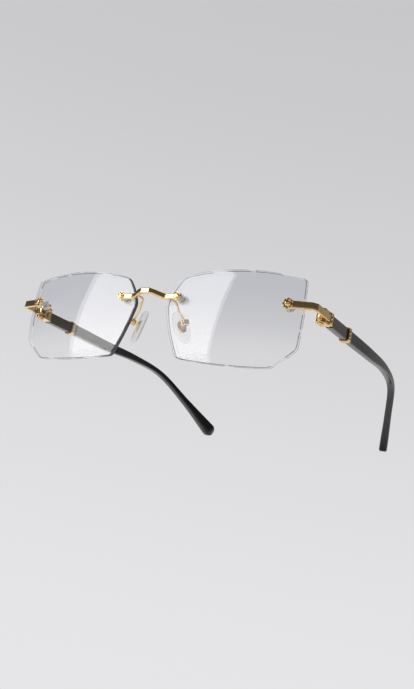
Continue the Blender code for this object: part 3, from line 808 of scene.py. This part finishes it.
def makeTemple():
    path = smoothPath(templePoints(), 12)
    sizes = smoothPath([Vector((thick, tall)) * mm for *_, thick, tall in temple["stations"]], 12)
    last, lastSize = path[-1], sizes[-1]
    heading = (last - path[-2]).normalized()
    for turn in (12, 24, 36, 48, 58, 68, 77, 84):
        path.append(last + heading * temple["tip"] * mm * math.sin(math.radians(turn)))
        sizes.append(lastSize * math.cos(math.radians(turn)))
    sections = [roundedRectangle(s.x, s.y, min(temple["corner"] * mm, s.x * 0.32)) for s in sizes]
    return toMesh(swept(path, sections))


def makeCollar():
    share = (collar["back"] + collar["length"] / 2) / (temple["length"] * temple["stations"][1][0])
    first, second = temple["stations"][:2]
    thick, tall = (first[i] + (second[i] - first[i]) * share for i in (3, 4))
    points = templePoints()
    place = along(points[0], Vector((1, 0, 0)), points[1] - points[0])
    inside, outsideGrow = fastening["gap"], fastening["gap"] + collar["wall"]
    low, high = collar["back"], collar["back"] + collar["length"]
    edge = collar["edge"]
    rings = []
    for grow, height in ((inside, low), (outsideGrow - edge, low), (outsideGrow, low + edge),
                         (outsideGrow, high - edge), (outsideGrow - edge, high), (inside, high)):
        section = roundedRectangle((thick + 2 * grow) * mm, (tall + 2 * grow) * mm, (0.4 + grow) * mm)
        rings.append([place @ Vector((p.x, p.y, height * mm)) for p in section])
    band = ringBody(rings, looped=True)
    upright = place @ Matrix.Translation(Vector((thick / 2 + outsideGrow - 0.12, 0, (low + high) / 2)) * mm)
    upright = upright @ Matrix.Rotation(-math.pi / 2, 4, "X")
    reach = (tall / 2 + 0.35) * mm
    return solid(band, joins=[rope(collar["rope"] * mm, -reach, reach, collar["ropeTwists"], 0.45, upright)])


onBothSides("temple", makeTemple(), [horn], "temple_body")
onBothSides("collar", makeCollar(), [gold], "temple_body")
print("temples made")


pad = {
    "place": (12.6, 8.4, -2.9), "facing": (-0.83, 0.53, -0.20), "down": (0.40, 0.19, -0.90), "length": 14.4,
    "width": 7.0, "thick": 2.3, "standOff": 2.2, "low": 0.45, "plateLength": 5.4, "plateWidth": 3.6,
    "plateThick": 0.6, "ear": 0.8, "earWidth": 0.8, "boxWidth": 2.4, "boxLength": 2.3, "boxWall": 0.5,
    "boxReach": 0.9, "pin": 0.35, "head": 1.05, "headHeight": 0.45, "wire": 0.45,
    "spare": 0.3,  # between the ear and its box
    "slot": 0.26, "screwTurn": 0.7,  # mm wide; radians
    "route": ((5.8, -0.75, 4.9), (5.9, 1.3, 5.2), (6.8, 4.0, 5.4), (8.3, 5.9, 4.6), (9.5, 6.8, 1.9)),
}
padDown = Vector(pad["down"]).normalized()
padFacing = Vector(pad["facing"])
padFacing = (padFacing - padDown * padFacing.dot(padDown)).normalized()
padFrame = along(Vector(pad["place"]) * mm, padFacing.cross(padDown), padFacing)
padSideways = padFrame @ Matrix.Rotation(math.pi / 2, 4, "Y")


def padRing(points, height, scale=1.0):
    return [padFrame @ (Vector((p.x * scale, p.y * scale - pad["low"], height)) * mm) for p in points]


def makeNosePad():
    outline = oval(pad["width"], pad["length"])
    rings = []
    for i in range(13):
        turn = math.pi * (i / 12 - 0.5)
        rings.append(padRing(outline, pad["standOff"] + pad["thick"] * (0.5 + 0.5 * math.sin(turn)),
                             0.80 + 0.20 * math.cos(turn)))
    face = pad["standOff"] + pad["thick"]
    middle = [padRing(outline, face, 0.4), padRing([Vector((0, 0))], face)]
    spare = 2 * fastening["gap"]
    floor = pad["standOff"] + spare + pad["plateThick"]
    pocket = ringBody([padRing(oval(pad["plateWidth"] + spare, pad["plateLength"] + spare), height)
                       for height in (0, floor)])
    return solid(ringBody([*rings, *middle]), cuts=[pocket])


def makePadPlate():
    low = pad["standOff"] + fastening["gap"]
    outline = oval(pad["plateWidth"], pad["plateLength"])
    plate = ringBody([padRing(outline, low, 0.94), padRing(outline, low + 0.1), padRing(outline, low + 0.5),
                      padRing(outline, low + pad["plateThick"], 0.94)])
    half = pad["earWidth"] / 2 * mm
    ear = rod(pad["ear"] * mm, -half, half, padSideways)
    neck = block((-half, -pad["ear"] * mm, 0),
                 (half, pad["ear"] * mm, (low + pad["plateThick"] / 2) * mm), padFrame)
    hole = rod((pad["pin"] + fastening["gap"]) * mm, -2 * half, 2 * half, padSideways)
    return solid(plate, joins=[ear, neck], cuts=[hole])


def makePadBox():
    half, back = pad["boxWidth"] / 2, -pad["ear"] - pad["spare"]
    outer = block((-half * mm, -pad["boxLength"] / 2 * mm, (back - pad["boxWall"]) * mm),
                  (half * mm, pad["boxLength"] / 2 * mm, pad["boxReach"] * mm), padFrame, 0.2 * mm)
    inner = pad["earWidth"] / 2 + pad["spare"]
    channel = block((-inner * mm, -3 * mm, back * mm), (inner * mm, 3 * mm, 3 * mm), padFrame)
    hole = rod((pad["pin"] + fastening["gap"]) * mm, -3 * mm, 3 * mm, padSideways)
    return solid(outer, cuts=[channel, hole])


def makePadArm():
    end = padFrame @ (Vector((0, pad["boxLength"] / 2 + fastening["gap"] + pad["wire"] / 2, 0)) * mm)
    route = [Vector(point) * mm for point in pad["route"]]
    path = smoothPath([*route, end.lerp(route[-1], 0.45), end], 8)
    section = oval(2 * pad["wire"] * mm, 2 * pad["wire"] * mm, 16)
    return toMesh(swept(path, [section] * len(path), Vector((1, 0, 0)), ends=pad["wire"] * 0.6 * mm))


onBothSides("nose_pad", makeNosePad(), [silicone], "pad_body", sharp=50)
onBothSides("pad_plate", makePadPlate(), [gold], "pad_body")
onBothSides("pad_box", makePadBox(), [gold], "front")
onBothSides("pad_arm", makePadArm(), [gold], "front")
padScrew = screwMesh(padSideways @ Matrix.Rotation(pad["screwTurn"], 4, "Z"),
                     pad["boxWidth"] / 2 + fastening["gap"], pad["head"], pad["headHeight"], pad["pin"],
                     -pad["boxWidth"] / 2, pad["slot"])
onBothSides("pad_screw", padScrew, [gold], "front")
print("nose pads made")

for word in sides:
    for node, material in (("temple_core", steel), ("end_bushing", plastic), ("bridge_bushing", plastic)):
        for part in frame["nodes"][f"{word}_{node}"].material_slots:
            part.material = material


studio = {
    "floorTone": (0.83, 0.83, 0.84),
    "backdropLow": (0.785, 0.785, 0.797), "backdropHigh": (0.560, 0.558, 0.575),
    "front": 0.085, "behind": 0.28,  # how bright the room is that the metal mirrors
    "soft": 0.72,  # how bright it is to matt surfaces
    # Each lamp's place and size in metres, and its power.
    "lamps": {"ceiling": ((0.1, 0.2, 1.3), 1.3, 6.0), "rim": ((-0.9, 0.8, 0.5), 0.5, 1.2)},
    "horizon": 0.42,  # brightness of the low band that the metal mirrors
    "softbox": 3.6, "softboxAhead": 200.0, "softboxTurn": -37.5,
    "softboxSize": (120.0, 220.0), "softboxUp": 20.0,  # mm
    "softboxLean": 8.0,  # degrees, its top to the right
}


def makeFloor():
    # It shows from above only, and fades out towards its rim.
    nodes = Nodes(bpy.data.materials.new("paleFloor"))
    grain = nodes.noise(60.0)
    tone = nodes.colours(grain, studio["floorTone"], tuple(0.985 * part for part in studio["floorTone"]))
    top = nodes.add("BsdfPrincipled", None, {"Base Color": tone, "Roughness": 0.09,
                                             "Specular IOR Level": 0.5})
    clear = nodes.add("BsdfTransparent", None, {"Color": (1, 1, 1, 1)})
    distance = nodes.add("VectorMath", {"operation": "LENGTH"}, {0: nodes.place()}, 1)
    faded = nodes.spread(distance, 0.45, 1.3)
    under = nodes.add("NewGeometry", give=6)
    surface = nodes.mixed(nodes.add("Math", {"operation": "MAXIMUM"}, {0: faded, 1: under}), top, clear)
    shape = bmesh.new()
    bmesh.ops.create_circle(shape, cap_ends=True, segments=96, radius=1.4)
    mesh = toMesh(shape)
    mesh.materials.append(nodes.show(surface))
    floor = bpy.data.objects.new("floor", mesh)
    floor.location.z = -0.0003
    bpy.context.collection.objects.link(floor)


def makeSoftbox():
    turn = math.radians(studio["softboxTurn"])
    ahead = Vector((math.sin(turn), -math.cos(turn), 0)) * studio["softboxAhead"]
    lean = Matrix.Rotation(-math.radians(studio["softboxLean"]), 3, ahead.normalized())
    sideways = lean @ Vector((math.cos(turn), math.sin(turn), 0)) * studio["softboxSize"][0] / 2
    rise = lean @ upwards * studio["softboxSize"][1] / 2
    middle = ahead + upwards * studio["softboxUp"]
    corners = ((1, 1), (1, -1), (-1, -1), (-1, 1))
    points = [shift + (middle + sideways * across + rise * up) * mm for across, up in corners]
    mesh = bpy.data.meshes.new("softbox")
    mesh.from_pydata(points, [], [range(len(points))])
    nodes = Nodes(bpy.data.materials.new("softboxLight"))
    mesh.materials.append(nodes.show(nodes.add("Emission", None, {"Color": (1, 0.99, 0.975, 1),
                                                                  "Strength": studio["softbox"]})))
    panel = bpy.data.objects.new("softbox", mesh)
    panel.visible_camera = False
    bpy.context.collection.objects.link(panel)


def makeLamp(name, place, size, power):
    light = bpy.data.lights.new(name, "AREA")
    light.shape = "DISK"
    light.size = size
    light.energy = power
    lamp = bpy.data.objects.new(name, light)
    lamp.location = place
    lamp.rotation_euler = (-Vector(place)).to_track_quat("-Z", "Y").to_euler()
    lamp.visible_camera = False
    bpy.context.collection.objects.link(lamp)


def makeWorld():
    # The view meets the backdrop, metal and glass mirror a darker room, and matt surfaces get even light.
    world = bpy.data.worlds.new("studio")
    bpy.context.scene.world = world
    nodes = Nodes(world)
    direction = nodes.add("TexCoord", give=0)
    height = nodes.add("SeparateXYZ", None, {0: direction}, 2)
    back = nodes.add("SeparateXYZ", None, {0: direction}, 1)
    backdrop = nodes.colours(nodes.spread(height, -0.1, 0.7), studio["backdropLow"], studio["backdropHigh"])
    seen = nodes.add("Background", None, {"Color": backdrop, "Strength": 1.0})
    level = nodes.spread(back, 0.25, 0.85, (studio["front"], studio["behind"]))
    low = nodes.spread(height, 0.0, 0.17, (studio["horizon"], 0.0))
    room = nodes.add("Background", None, {"Color": (1, 0.99, 0.98, 1), "Strength": level + low})
    soft = nodes.add("Background", None, {"Color": (1, 1, 1, 1), "Strength": studio["soft"]})
    felt = nodes.mixed(nodes.add("LightPath", give=2), room, soft)
    direct = nodes.add("LightPath", give=0)
    nodes.show(nodes.mixed(direct, felt, seen))


camera = {
    "place": (220.68, -288.615, -106.221),
    "ahead": (-0.5318, 0.8068, 0.2575), "up": (-0.0274, -0.3203, 0.9469),
    "lens": 50.16, "sensor": 36.0, "nearest": 10.0,  # mm
}


def makeCamera():
    data = bpy.data.cameras.new("camera")
    data.lens = camera["lens"]
    data.sensor_width = camera["sensor"]
    data.clip_start = camera["nearest"] * mm
    view = bpy.data.objects.new("camera", data)
    ahead = Vector(camera["ahead"]).normalized()
    right = ahead.cross(Vector(camera["up"])).normalized()
    place = Matrix((right, right.cross(ahead), -ahead)).transposed().to_4x4()
    place.translation = shift + Vector(camera["place"]) * mm
    view.matrix_world = place
    bpy.context.collection.objects.link(view)
    bpy.context.scene.camera = view


makeFloor()
makeSoftbox()
for name, (place, size, power) in studio["lamps"].items():
    makeLamp(name, place, size, power)
makeWorld()
makeCamera()
bpy.context.scene.view_settings.view_transform = "Standard"
print("studio made")
